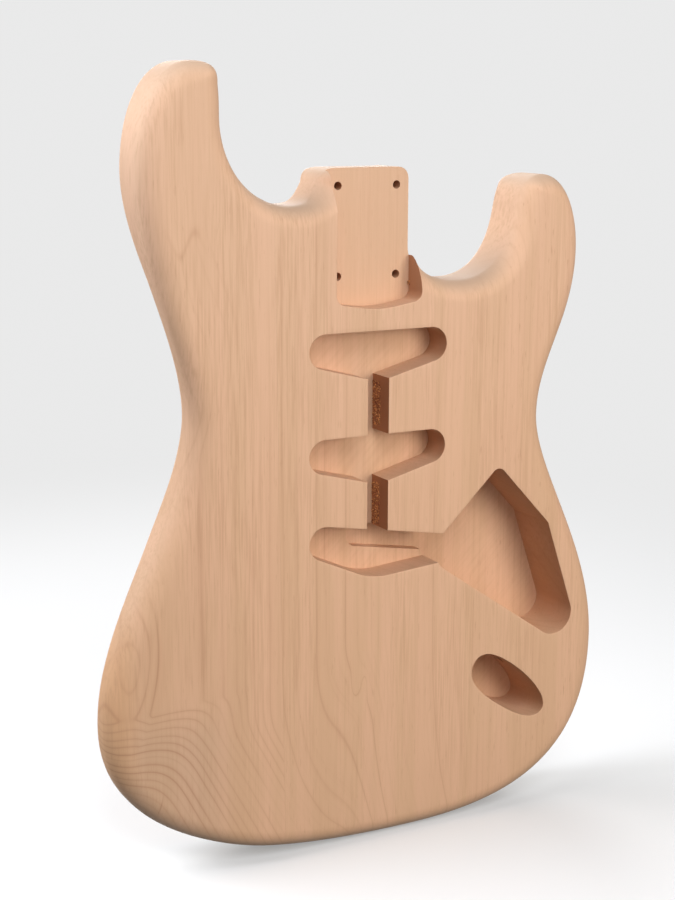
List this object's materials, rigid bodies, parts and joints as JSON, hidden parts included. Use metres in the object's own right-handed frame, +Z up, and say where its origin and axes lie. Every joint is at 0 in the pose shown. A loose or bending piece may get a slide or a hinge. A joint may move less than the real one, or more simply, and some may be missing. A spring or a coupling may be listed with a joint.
{
  "type": "electric guitar body",
  "caption": "Bare wooden double-cutaway guitar body with neck pocket, pickup cavities, control cavity and jack cavity, rounded edges and contours for forearm and ribs.",
  "frame": {"origin": "middle of the four neck screws, on the floor of the neck pocket", "axes": "+Z up towards the neck, +Y from the front face to the back, +X to the treble side"},
  "size_m": [0.3238, 0.045, 0.4593],
  "materials": {
    "bass_board": "bare, sanded",
    "centre_board": "bare, sanded",
    "treble_board": "bare, sanded"
  },
  "bodies": {
    "root": {"bass_board": "bass_board", "centre_board": "centre_board", "treble_board": "treble_board"}
  },
  "joints": []
}
